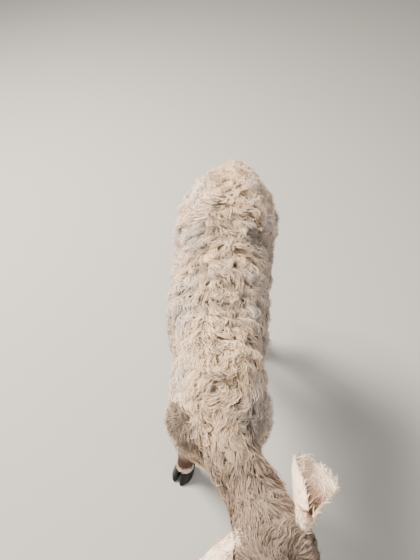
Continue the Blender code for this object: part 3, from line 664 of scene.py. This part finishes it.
def surface_samples(obj, density, seed):
    """Random places on obj with their normals; density gives how many for each square metre at a place."""
    local = np.random.default_rng(seed)
    mesh = obj.data
    mesh.calc_loop_triangles()
    corners = np.empty(len(mesh.loop_triangles) * 3, np.int32)
    mesh.loop_triangles.foreach_get("vertices", corners)
    corners = corners.reshape(-1, 3)
    points, facing = coordinates(obj), normals(obj)
    a, b, c = points[corners[:, 0]], points[corners[:, 1]], points[corners[:, 2]]
    share = np.linalg.norm(np.cross(b - a, c - a), axis=1) / 2 * density((a + b + c) / 3)
    count = int(share.sum())
    tri = corners[local.choice(len(corners), size=count, p=share / share.sum())]
    u, v = local.random(count), local.random(count)
    flip = u + v > 1
    u, v = np.where(flip, 1 - u, u)[:, None], np.where(flip, 1 - v, v)[:, None]
    places, up = (
        values[tri[:, 0]] * (1 - u - v) + values[tri[:, 1]] * u + values[tri[:, 2]] * v
        for values in (points, facing)
    )
    return places, up / np.linalg.norm(up, axis=1)[:, None]


def spread_out(places, spacing):
    """Indices of places with at most one in each cell of a grid."""
    cells = np.floor(places / spacing).astype(np.int64)
    keys = cells[:, 0] * 73856093 ^ cells[:, 1] * 19349663 ^ cells[:, 2] * 83492791
    return np.sort(np.unique(keys, return_index=True)[1])


def gathered(places, centres):
    """For each place the number of its nearest centre."""
    tree = kdtree.KDTree(len(centres))
    for i, centre in enumerate(centres):
        tree.insert(Vector(centre), i)
    tree.balance()
    return np.array([tree.find(Vector(place))[1] for place in places])


def unit(vectors):
    return vectors / np.maximum(np.linalg.norm(vectors, axis=-1, keepdims=True), 1e-9)


def along_skin(vectors, up):
    """Vectors without the part that points off the skin."""
    return vectors - up * (vectors * up).sum(1)[:, None]


def turned(vectors, axis, angle):
    """Vectors turned by angles about unit axes that stand square to them."""
    c, s = np.cos(angle)[:, None], np.sin(angle)[:, None]
    return vectors * c + np.cross(axis, vectors) * s


def lie_of_hair(places, up):
    """The way the hair lies: parted on the spine, to the head in front of the hips and to the tail behind
    them, down the sides and legs, and from a whorl on the forehead over the face."""
    own = places - np.array(SHIFT)
    side = places[:, 0] - rear_sway(places[:, 1])
    away = np.abs(side)
    hips = smoothstep(0.130, 0.250, own[:, 1] + 0.5 * away)
    backward = -0.55 + 0.95 * hips
    on_neck = smoothstep(-0.150, -0.230, own[:, 1])
    backward = backward * (1 - on_neck) - 0.90 * on_neck
    flank = smoothstep(0.045, 0.085, away) * smoothstep(-0.27, -0.20, own[:, 1])
    backward = backward * (1 - flank) + 0.60 * flank
    behind = smoothstep(0.315, 0.350, own[:, 1])
    outward = np.clip(side / 0.022, -1, 1) * (0.80 - 0.50 * on_neck) * (1 - 0.6 * hips)
    body = np.column_stack((outward, backward * (1 - behind), -away * 6.0 - 0.05 - behind))
    low = 1 - smoothstep(0.40, 0.52, places[:, 2])
    leg = np.tile((0.0, 0.15, -1.0), (len(places), 1))
    lie = mix(body, leg, np.maximum(low, on_tail(places)))
    head = in_head(places)
    from_whorl = head - np.array((0.0, -0.070, 0.01))
    from_whorl[:, 1] -= 0.02 * (np.abs(head[:, 0]) > 0.02)
    on_face = (own[:, 1] < -0.375) & (places[:, 2] > 0.5)
    face = unit(from_whorl) @ np.array(HEAD)[:3, :3].T
    lie[on_face] = face[on_face]
    return unit(along_skin(lie, up))


def chart(places):
    """An unwrap of the body: round its own axis and along it, the legs unrolled below."""
    own = places - np.array(SHIFT)
    spine = rear_sway(places[:, 1])
    leg = places[:, 2] < 0.42
    leg_x = np.where(places[:, 0] > spine, 0.07, -0.07) + spine
    leg_y = np.where(own[:, 1] > 0.05, 0.28, -0.16) + SHIFT.y
    centre_x, centre_y = np.where(leg, leg_x, spine), np.where(leg, leg_y, 0.0)
    round_body = np.arctan2(places[:, 0] - centre_x, places[:, 2] - 0.60)
    round_leg = np.arctan2(places[:, 0] - centre_x, places[:, 1] - centre_y)
    number = (places[:, 0] > spine) + 2 * (own[:, 1] > 0.05)
    u = np.where(leg, (number + 0.5 + round_leg / 6.4) / 4, 0.5 + round_body / 6.3)
    v = np.where(leg, 0.30 * places[:, 2] / 0.42, 0.32 + 0.68 * (own[:, 1] + 0.60) / 1.02)
    return np.column_stack((u, v))


def keep_charts(obj, faces, chart_places, count, steps):
    """Keeps each vertex's place on its ribbon, and a small patch of the body's chart for each ribbon."""
    edges, along = np.array((0.0, 1.0))[None, None, :], np.linspace(0, 1, steps)[None, :, None]
    own = np.empty((count, steps, 2, 3), np.float32)
    own[..., 0] = edges
    own[..., 1] = along
    own[..., 2] = (np.arange(count) * 0.618 % 1)[:, None, None]
    layer = obj.data.attributes.new("strand", "FLOAT_VECTOR", "POINT")
    layer.data.foreach_set("vector", own.ravel())
    places = chart(chart_places)
    low, high = places.min(0), places.max(0)
    places = 0.005 + 0.985 * (places - low) / (high - low)
    patch = np.empty((count, steps, 2, 2))
    patch[..., 0] = places[:, None, None, 0] + 0.003 * edges
    patch[..., 1] = places[:, None, None, 1] + 0.003 * along
    layer = obj.data.uv_layers.new(name="OFBake")
    layer.data.foreach_set("uv", patch.reshape(-1, 2)[faces.ravel()].astype(np.float32).ravel())


def ribbons(name, paths, widths, flat, colours, chart_places):
    """One mesh of tapering ribbons. paths (n, k, 3), widths (n, k), flat (n, 3), colours (n, k, 3)."""
    count, steps = paths.shape[:2]
    along = np.gradient(paths, axis=1)
    across = unit(np.cross(along, flat[:, None, :])) * widths[:, :, None] / 2
    points = np.stack((paths - across, paths + across), axis=2).reshape(-1, 3)
    start = np.arange(count)[:, None] * steps * 2 + np.arange(steps - 1)[None, :] * 2
    faces = np.stack((start, start + 1, start + 3, start + 2), axis=2).reshape(-1, 4)
    obj = mesh_object(name, points, faces)
    paint(obj, np.repeat(colours.reshape(-1, 3), 2, axis=0))
    keep_charts(obj, faces, chart_places, count, steps)
    obj.data.materials.append(COAT)
    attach(obj, "root")


def bend_sides(centres):
    """1 or -1 for the way each lock bends: in patches, and before the loins by its side of the spine."""
    across = centres[:, 0] - rear_sway(centres[:, 1])
    own_y = centres[:, 1] - SHIFT.y
    arched = smoothstep(0.10, 0.02, own_y) * smoothstep(-0.24, -0.18, own_y)
    return np.where(noise(centres, 0.045, 12) - 1.1 * arched * np.sign(across) > 0, 1.0, -1.0)


class Locks:
    """Places for hair gathered into locks that share a bend, a height, a tone and the way to their tip."""

    def __init__(self, places, up, steps, seed):
        self.random = draw = np.random.default_rng(seed)
        self.places, self.up, self.count = places, up, len(places)
        self.s = np.linspace(0, 1, steps)[None, :]
        own_y = places[:, 1] - SHIFT.y
        self.share = share = curly_share(places)
        rump = smoothstep(0.12, 0.24, own_y)
        rear = smoothstep(0.24, 0.32, own_y)
        neck = smoothstep(-0.20, -0.27, own_y)
        self.calm = np.maximum(neck, smooth_arm(places))
        self.muzzle = smoothstep(0.120, 0.195, -in_head(places)[:, 1]) * (own_y < -0.33)
        open_roots = parted(places)

        # What the ribbons of a lock share
        centres = places[spread_out(places + 0.3, LOCK_SPACING)]
        pick = gathered(places, centres)
        bend = draw.uniform(0.7, 1.5, len(centres)) * bend_sides(centres)
        self.bend = bend[pick] * (1.15 + 0.75 * rump - 0.25 * neck) * (0.25 + 0.75 * share)
        aside = draw.normal(0, 0.28, len(centres))[pick] * (1 - 0.5 * neck)
        self.phase = draw.random(len(centres))[pick] * FULL_TURN
        lift = draw.uniform(0.80, 1.10, len(centres))[pick]
        spread = draw.normal(0, 0.15, len(centres))[pick] * (1 - 0.5 * self.calm)
        # Painted light: the rump's hair is made lighter
        self.tone = 1.11 + 0.10 * rump + spread

        # The way that the hair lies, and how far each place is from the middle of its lock
        self.inward = along_skin(centres[pick] - places, up)
        self.edge = np.clip(np.linalg.norm(self.inward, axis=1) / LOCK_REACH, 0, 1)
        self.pull = 0.32 - 0.16 * neck
        swirl = (0.60 + 0.45 * rump + 0.15 * neck) * noise(places, 0.095, 11)
        self.lie = turned(lie_of_hair(places, up), up, swirl + aside - 0.5 * self.bend)
        self.side = np.cross(up, self.lie)
        # The curls of the back lie in rows that run across it
        rows = 0.5 + 0.5 * np.sin(own_y * FULL_TURN / RIPPLE_SPACING + 3.0 * noise(places, 0.12, 21))
        self.ripple = 1 - 0.34 * rows * smoothstep(-0.16, -0.10, own_y) * (1 - rump)

        # Length and height: less on the muzzle, the rump's end and the partings, more over the hooves
        length = SHORT_LENGTH + CURL_LENGTH * share * (1 - 0.30 * neck)
        length *= draw.uniform(0.85, 1.15, self.count)
        length *= (1 - 0.06 * rump) * (1 - 0.40 * open_roots)
        length += 0.0030 * (places[:, 2] < 0.062)
        length *= (1 - 0.50 * self.muzzle) * (1 - 0.25 * rear)
        self.length = length
        height = (SHORT_HEIGHT + CURL_HEIGHT * share * (1 - 0.42 * neck)) * lift
        height *= 1 - 0.30 * self.edge ** 2
        height *= self.ripple
        height *= (1 - 0.35 * rear) * (1 - 0.60 * open_roots)
        self.height = height

    def strand(self, first, last):
        """One ribbon at each place: its path, widths and shades. The last one strays from its lock."""
        s, up, count, draw = self.s, self.up, self.count, self.random
        jitter = along_skin(draw.normal(0, 0.0012, (count, 3)), up)
        bend = self.bend * draw.uniform(0.8, 1.2, count) + draw.normal(0, 0.10, count)
        wave = 0.35 * np.sin(self.phase[:, None] + draw.normal(0, 0.4, count)[:, None] + s * 7.5)
        angle = bend[:, None] * (0.35 * s + 0.65 * s ** 2) * 1.5 + wave * self.share[:, None]
        stray = 1 + 0.38 * last * draw.random(count)
        # The first ribbon of each lock lies low and fills the gaps between locks
        low = 1 - 0.45 * first
        step_length = (self.length * stray / (s.size - 1))[:, None]
        forward = np.cumsum(np.cos(angle) * step_length, axis=1) - step_length
        sideways = np.cumsum(np.sin(angle) * step_length, axis=1)
        rise = np.sin(math.pi * (0.04 + 0.70 * s)) * (self.height * stray * low)[:, None]
        path = (
            (self.places + jitter)[:, None, :]
            + up[:, None, :] * (rise - ROOT_DEPTH)[:, :, None]
            + self.lie[:, None, :] * forward[:, :, None]
            + self.side[:, None, :] * sideways[:, :, None]
            + self.inward[:, None, :] * ((2 * low - 1) * self.pull[:, None] * s ** 1.5)[:, :, None]
        )
        width = SHORT_WIDTH + CURL_WIDTH * self.share - 0.00030 * self.muzzle
        width *= draw.uniform(0.8, 1.25, count)
        taper = np.interp(s[0], (0, 0.15, 0.7, 1), (0.7, 1.0, 0.85, 0.15))
        tone = self.tone * (1 + draw.normal(0, 0.13, count) * (1 - 0.4 * self.calm))
        # Painted shade: the hair darker towards the edges of its lock and in the valleys between the rows
        # of curls, a little lighter in the lock's middle
        tone *= (1.07 - 0.34 * self.edge ** 2) * self.ripple ** 1.2
        # Painted shade and highlight: darker at the roots deep in the coat, partly their own darker colour,
        # and lighter than the hair's colour at the tips
        root = 0.66 - 0.26 * self.share * (1 - self.calm)
        shade = tone[:, None] * (root[:, None] + (1.26 - root)[:, None] * s ** 0.8)
        return path, width[:, None] * taper[None, :], shade


def grow(name, places, up, strands, steps, seed):
    """Curled hair at places, one ribbon or several from each."""
    locks = Locks(places, up, steps, seed)
    grown = [locks.strand(n == 0 and strands > 1, n == strands - 1) for n in range(strands)]
    paths, widths, shades = (np.concatenate(part) for part in zip(*grown))
    owner = np.tile(np.arange(len(places)), strands)
    tones = markings(places)[owner][:, None, :] * shades[:, :, None]
    # The roots painted darker as shade are also painted greyer than the tips
    grey = tones.mean(-1, keepdims=True)
    tones = grey + (tones - grey) * (0.50 + 0.50 * np.clip(shades, 0, 1))[:, :, None]
    tilt = np.random.default_rng(seed + 1).normal(0, 0.35, (len(owner), 3))
    ribbons(name, paths, widths, unit(up[owner] + tilt), limited(tones), places[owner])


def plain_hair(name, places, up, lie, colours, seed, length, width, rise, steps=4, bend=0.25):
    """Straight short hair at places: length is for all or one for each, width and rise for all."""
    local = np.random.default_rng(seed)
    count = len(places)
    reach = (length * local.uniform(0.75, 1.2, count))[:, None]
    side = np.cross(up, lie)
    s = np.linspace(0, 1, steps)[None, :]
    angle = bend * local.normal(size=count)[:, None] * (0.5 + s)
    lifted = rise * local.uniform(0.7, 1.3, count)[:, None] * reach * np.sin(math.pi * 0.62 * s)
    paths = (
        places[:, None, :]
        + up[:, None, :] * (lifted - 0.0006)[:, :, None]
        + lie[:, None, :] * (reach * s * np.cos(angle))[:, :, None]
        + side[:, None, :] * (reach * s * np.sin(angle))[:, :, None]
    )
    taper = np.interp(s[0], (0, 0.2, 0.7, 1), (0.8, 1.0, 0.8, 0.12))
    widths = (width * local.uniform(0.8, 1.2, count))[:, None] * taper[None, :]
    # Each hair darker at the root and lighter at the tip: painted shade and highlight, as in the curls
    tones = local.normal(1.0, 0.07, count)[:, None] * (0.85 + 0.2 * s)
    flat = unit(up + local.normal(0, 0.3, (count, 3)))
    colours = limited(colours[:, None, :] * tones[:, :, None])
    ribbons(name, paths, widths, flat, colours, places)


def bare(places):
    """1 where no hair grows: nose pad, lips and the rims of the lids."""
    found = nose_pad(in_head(places))
    for centre, radius in EYES.values():
        away = np.linalg.norm(places - np.array(centre), axis=1)
        found = np.maximum(found, away < radius + 0.0035)
    return found


def long_density(places):
    return LONG_DENSITY * (curly_share(places) > CURLY_LIMIT) * (1 - 0.5 * on_tail(places))


def short_density(places):
    hairy = (curly_share(places) <= CURLY_LIMIT) * (bare(places) < 0.4) * (places[:, 2] > 0.028)
    return SHORT_DENSITY * hairy


def grow_in_pieces(name, count, roots, up, strands, steps, seed):
    """Hair in pieces that follow one another from head to tail, so that each stays a light mesh."""
    order = np.argsort(roots[:, 1])
    for n, part in enumerate(np.array_split(order, count)):
        grow(f"{name}_{n + 1}", roots[part], up[part], strands, steps, seed + n)


def make_coat(skin):
    roots, up = surface_samples(skin, long_density, 31)
    keep = spread_out(roots, LONG_SPACING)
    grow_in_pieces("coat_curls", 7, roots[keep], up[keep], 5, 5, 100)
    roots, up = surface_samples(skin, short_density, 32)
    keep = up[:, 2] > -0.6
    grow_in_pieces("coat_short", 3, roots[keep], up[keep], 1, 4, 200)


make_coat(make_skin())


# Ears: the thin cups smoothed, near-white behind and pinkish brown inside, darkened deep in the cup as
# painted shade, with pale fringes

def cup_radius(u):
    """The cup's radius at a share u of its length, and half the turn that it takes round it."""
    half_arc = EAR_LENGTH * (0.25 + 0.60 * u - 0.48 * u * u) * np.sqrt(np.maximum(1 - u ** 7, 0.12))
    half_turn = np.radians(160 - 65 * np.minimum(u / 0.50, 1) - 130 * np.maximum(u - 0.50, 0))
    return half_arc / half_turn, half_turn


class Ear:
    """An ear's own axes: along it, into its cup, which turns on the way to the tip, and across it."""

    def __init__(self, name):
        base, tip, self.opening, self.tip_opening = (np.array(v) for v in EARS[name])
        self.base = base + np.array(SHIFT)
        self.along = unit(tip - base)

    def read(self, points, up):
        """Share of its length, place from rim -1 to rim 1, whether in the cup, and the way across."""
        u = np.clip((points - self.base) @ self.along / EAR_LENGTH, 0, 1)
        facing = mix(self.opening[None, :], self.tip_opening[None, :], u)
        inward = unit(facing - np.outer(facing @ self.along, self.along))
        across = np.cross(self.along[None, :], inward)
        radius, half_turn = cup_radius(u)
        spine = self.base + np.outer(u * EAR_LENGTH, self.along)
        spine -= 0.010 * np.sin(math.pi * u)[:, None] * inward
        out = points - spine - inward * radius[:, None]
        turn = np.arctan2((out * across).sum(1), -(out * inward).sum(1))
        return u, turn / half_turn, (-out * up).sum(1) > 0, across

    def colours(self, points, up):
        u, rim, inside, _ = self.read(points, up)
        # Pinkish brown deep in the cup: partly the inner skin, partly painted shade
        deep_shade = inside * smoothstep(0.98, 0.55, np.abs(rim)) * smoothstep(0.78, 0.42, u)
        return layered(plain(EAR_WHITE, len(points)), (
            (CREAM, 0.35 * smoothstep(0.3, 0.0, u)),
            (EAR_PINK_AND_SHADE, 0.92 * deep_shade),
        ))


def ear_skin(name, own):
    """The ear's cup on a round root, its end leaned out and its corners rounded."""
    turn = Vector(own.along).to_track_quat("Z", "Y").to_matrix().to_4x4()
    root_place = Matrix.Translation(Vector(own.base - own.along * 0.004)) @ turn
    root = sphere("root", root_place, (0.0125, 0.0125, 0.016), 24, 16)
    ear = join(name + "_skin", [copy_of(name, name + "_copy"), root])
    modified(ear, "REMESH", mode="VOXEL", voxel_size=0.0012)
    modified(ear, "SMOOTH", factor=0.5, iterations=14)
    places = coordinates(ear)
    u, rim = own.read(places, normals(ear))[:2]
    out = smoothstep(0.55, 1.0, u)
    places[:, 0] += np.sign(own.along[0]) * EAR_LEAN * out
    places -= own.along * (EAR_ROUNDING * out * np.clip(np.abs(rim) - 0.25, 0, 1) ** 1.5)[:, None]
    set_coordinates(ear, places)
    modified(ear, "DECIMATE", ratio=0.4)
    only(ear)
    bpy.ops.object.shade_smooth()
    paint(ear, own.colours(coordinates(ear), normals(ear)))
    ear.data.materials.append(SKIN)
    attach(ear, "root")
    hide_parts(name)
    return ear


def make_ear(name):
    own = Ear(name)
    ear = ear_skin(name, own)
    roots, up = surface_samples(ear, lambda places: np.full(len(places), EAR_DENSITY), 51)
    u, rim, inside, across = own.read(roots, up)
    edge = np.abs(rim)
    lie = own.along + (0.15 + 0.30 * edge)[:, None] * np.sign(rim)[:, None] * across
    lie = unit(along_skin(lie, up))
    keep = ~inside | (edge > 0.60) | (u > 0.75)
    length = 0.0080 + 0.0015 * smoothstep(0.75, 0.95, edge) + 0.004 * (u < 0.25)
    colours = own.colours(roots, up)
    plain_hair(name + "_hair", roots[keep], up[keep], lie[keep], colours[keep], 52,
               length[keep], 0.0011, 0.05)
    # Long pale hairs that cross the cup from its rims, tinted pinkish brown near the root as painted shade
    share = 0.30 + 0.35 * (edge > 0.75)
    chosen = inside & (edge > 0.35) & (np.random.default_rng(53).random(len(roots)) < share) & (u < 0.88)
    toward = -np.sign(rim)[:, None] * across + 0.9 * own.along
    toward = unit(along_skin(toward, up))
    pink_and_shade = 0.75 * smoothstep(0.45, 0.20, u[chosen])
    plain_hair(name + "_fringe", roots[chosen], up[chosen], toward[chosen],
               layered(plain(EAR_WHITE, chosen.sum()), ((EAR_PINK_AND_SHADE, pink_and_shade),)), 54,
               0.016 + 0.009 * (edge[chosen] > 0.75), 0.0008, 0.40, steps=5)


for ear_name in EARS:
    make_ear(ear_name)


# Eyes: dark wet balls with a horizontal pupil, and lashes over the upper lids

def make_eye(side, node):
    own = eye_axes(side)
    radius = EYES[side][1]
    eye = sphere(node + "_ball", own, [radius] * 3, 128, 80)
    points = placed(own.inverted(), coordinates(eye)) / radius
    across, up = points[:, 0], points[:, 2]
    off = np.hypot(across, up)
    spokes = 0.5 + 0.5 * np.sin(np.arctan2(up, across) * 41) * smoothstep(0.2, 0.6, off)
    colours = mix(plain(EYE_BROWN, len(points)), linear(BROWN), 0.30 * spokes)
    colours = mix(colours, linear(DARK_BROWN) * 0.35, smoothstep(0.60, 0.68, off))
    colours = mix(colours, linear(PUPIL), smoothstep(0.06, 0.0, np.hypot(across / 1.75, up) - 0.22))
    paint(eye, colours)
    only(eye)
    bpy.ops.object.shade_smooth()
    eye.data.materials.append(WET_EYE)
    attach(eye, "root")
    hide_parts(node)


def make_lashes(side, node):
    turn = np.radians(np.linspace(18, 162, 54))
    x, z = 0.0150 * np.cos(turn), lid_edge(turn)[1]
    y = -np.sqrt((EYES[side][1] + 0.0033) ** 2 - x * x - z * z)
    own = eye_axes(side)
    axes = np.array(own)[:3, :3].T
    out = unit(np.column_stack((0.9 * np.cos(turn), np.full(len(turn), -0.9), np.full(len(turn), 0.10))))
    rising = unit(np.column_stack((0.2 * np.cos(turn), np.full(len(turn), -0.2), np.full(len(turn), 1.0))))
    plain_hair(node + "_lashes", placed(own, np.column_stack((x, y, z))), rising @ axes, out @ axes,
               plain(DARK_BROWN, len(turn)), 61, 0.0080, 0.00032, 0.35, steps=6, bend=0.12)


# Folds round an eye: first and last turn, size against the opening, height over the ball, width, depth
LID_FOLDS = (
    (0, 360, 1.03, 0.0022, 0.0013, 0.0012),
    (8, 172, 1.42, 0.0026, 0.0019, 0.0014),
    (195, 345, 1.36, 0.0024, 0.0013, 0.0009),
)
FOLD_STEPS, FOLD_SIDES = 60, 10


def lid_fold(radius, first, last, scale, height, width, depth):
    """A soft round cord on the lids; one that doesn't close thins to its ends."""
    x, z = lid_edge(np.radians(np.linspace(first, last, FOLD_STEPS + 1)), scale)
    y = -np.sqrt(np.maximum((radius + height) ** 2 - x * x - z * z, 0))
    middle = np.column_stack((x, y, z))
    out = unit(middle)
    across = unit(np.cross(unit(np.gradient(middle, axis=0)), out))
    ends = np.sqrt(np.sin(np.linspace(0.02, math.pi - 0.02, FOLD_STEPS + 1)))[:, None, None]
    slim = 1.0 if last - first == 360 else ends
    turns = np.radians(np.arange(0, 360, 360 // FOLD_SIDES))
    rings = middle[:, None, :] + slim * (
        across[:, None, :] * width * np.cos(turns)[None, :, None]
        + out[:, None, :] * depth * np.sin(turns)[None, :, None])
    start, number = np.arange(FOLD_STEPS)[:, None] * FOLD_SIDES, np.arange(FOLD_SIDES)[None, :]
    this, beside = start + number, start + (number + 1) % FOLD_SIDES
    faces = np.stack((this, beside, beside + FOLD_SIDES, this + FOLD_SIDES), axis=2).reshape(-1, 4)
    return mesh_object("rim", rings.reshape(-1, 3), faces)


def make_lids(side, node):
    """A dark rim round the opening of the eye and soft folds over its upper lid and under the lower."""
    lids = join(node + "_lids", [lid_fold(EYES[side][1], *fold) for fold in LID_FOLDS])
    lids.data.transform(eye_axes(side))
    rim = np.arange(len(lids.data.vertices)) < (FOLD_STEPS + 1) * FOLD_SIDES
    paint(lids, mix(markings(coordinates(lids)), linear(DARK_BROWN), np.where(rim, 0.92, 0.45)))
    lids.data.materials.append(SKIN)
    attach(lids, "root")


for eye_side, eye_node in ((1, "eye_left"), (-1, "eye_right")):
    make_eye(eye_side, eye_node)
    make_lashes(eye_side, eye_node)
    make_lids(eye_side, eye_node)


# Hooves and dewclaws: rounded black horn

def make_horn(name, nodes, voxel):
    horn = join(name, [copy_of(node, node + "_copy") for node in nodes])
    modified(horn, "REMESH", mode="VOXEL", voxel_size=voxel)
    modified(horn, "SMOOTH", factor=0.5, iterations=9)
    modified(horn, "DECIMATE", ratio=0.35)
    only(horn)
    bpy.ops.object.shade_smooth_by_angle(angle=math.radians(60))
    horn.data.materials.append(HORN)
    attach(horn, "root")
    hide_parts(*nodes)


FEET = [f"{pair}_{side}_{part}" for pair in ("fore", "hind") for side in ("left", "right") for part in "ab"]
make_horn("hooves", ["claw_" + foot for foot in FEET], 0.0012)
make_horn("dewclaws", ["dewclaw_" + foot for foot in FEET], 0.0009)


# Tail switch: a soft core under long wavy hairs

def switch_core(middle):
    core = copy_of("tail_switch", "tail_switch_core")
    shrink = Matrix.Translation(middle) @ Matrix.Diagonal((0.6, 0.6, 0.92, 1)) @ Matrix.Translation(-middle)
    core.data.transform(shrink)
    paint(core, markings(coordinates(core)))
    core.data.materials.append(SKIN)
    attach(core, "root")
    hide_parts("tail_switch")


def make_switch():
    low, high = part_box("tail_switch")
    middle = (low + high) / 2
    switch_core(middle)
    local = np.random.default_rng(71)
    count = SWITCH_HAIRS
    turn = local.uniform(0, FULL_TURN, count)
    out = np.column_stack((np.cos(turn), np.sin(turn), np.zeros(count)))
    edge = np.column_stack((-out[:, 1], out[:, 0], np.zeros(count)))
    top = local.uniform(high.z - 0.060, high.z + 0.004, count)
    tip = low.z + 0.004 + 0.050 * local.random(count) ** 1.5
    s = np.linspace(0, 1, 7)[None, :]
    belly = np.sin(math.pi * np.minimum(s * 1.15, 1)) * (1 - 0.4 * s)
    wide = 0.0065 + 0.0085 * local.random(count)[:, None] * belly
    wave = 0.0028 * np.sin(s * 7 + local.uniform(0, FULL_TURN, count)[:, None]) * s
    paths = (
        np.array((middle.x, middle.y, 0.0))
        + out[:, None, :] * wide[:, :, None]
        + edge[:, None, :] * wave[:, :, None]
    )
    paths[:, :, 2] = top[:, None] + (tip - top)[:, None] * s
    taper = np.interp(s[0], (0, 0.2, 0.75, 1), (0.8, 1, 0.8, 0.1))
    widths = 0.0011 * taper[None, :] * np.ones((count, 1))
    # Darker near the tail and lighter at the tips: painted shade and highlight, as in the curls
    shades = local.normal(1, 0.09, count)[:, None] * (0.8 + 0.25 * s)
    tones = markings(paths[:, 0])[:, None, :] * shades[:, :, None]
    flat = unit(out + local.normal(0, 0.35, (count, 3)))
    ribbons("coat_switch", paths, widths, flat, limited(tones), paths[:, 0])


make_switch()


# Camera, light and floor

# The picture's height and the camera's focal length, in pixels of the picture
PICTURE_HEIGHT, FOCAL_LENGTH = 560, 415
SENSOR = 36
camera_data = bpy.data.cameras.new("camera")
camera_data.sensor_width = SENSOR
camera_data.lens = FOCAL_LENGTH / PICTURE_HEIGHT * SENSOR
camera = bpy.data.objects.new("camera", camera_data)
bpy.context.scene.collection.objects.link(camera)
camera.location = SHIFT + Vector((-0.0146, -0.44, 1.30))
camera.rotation_euler = (math.radians(37.3), 0, 0)
bpy.context.scene.camera = camera

deselect()
bpy.ops.mesh.primitive_plane_add(size=12, location=(0, 0, 0))
floor = bpy.context.object
floor.name = "floor"
floor.data.materials.append(plain_material("pale floor", FLOOR_GREY, 0.9, specular=0.2))


def area_light(name, place, aim, size, power, colour):
    data = bpy.data.lights.new(name, "AREA")
    data.color = colour
    data.size = size
    data.energy = power
    light = bpy.data.objects.new(name, data)
    bpy.context.scene.collection.objects.link(light)
    light.location = place
    light.rotation_euler = (Vector(aim) - Vector(place)).to_track_quat("-Z", "Y").to_euler()


WARM, COOL = (1.0, 0.93, 0.84), (0.93, 0.96, 1.0)
area_light("key", (-1.6, 1.2, 2.6), (0, 0.05, 0.5), 0.9, 350, WARM)
area_light("fill", (2.2, -1.6, 2.0), (0, -0.1, 0.5), 2.2, 38, COOL)
area_light("front", (-0.6, -2.6, 1.2), (0, -0.3, 0.5), 2.0, 28, WARM)
world = bpy.data.worlds.new("studio")
bpy.context.scene.world = world
world.use_nodes = True
sky = world.node_tree.nodes["Background"]
feed(world.node_tree, sky, {"Color": (1.0, 0.98, 0.95, 1), "Strength": 0.55})
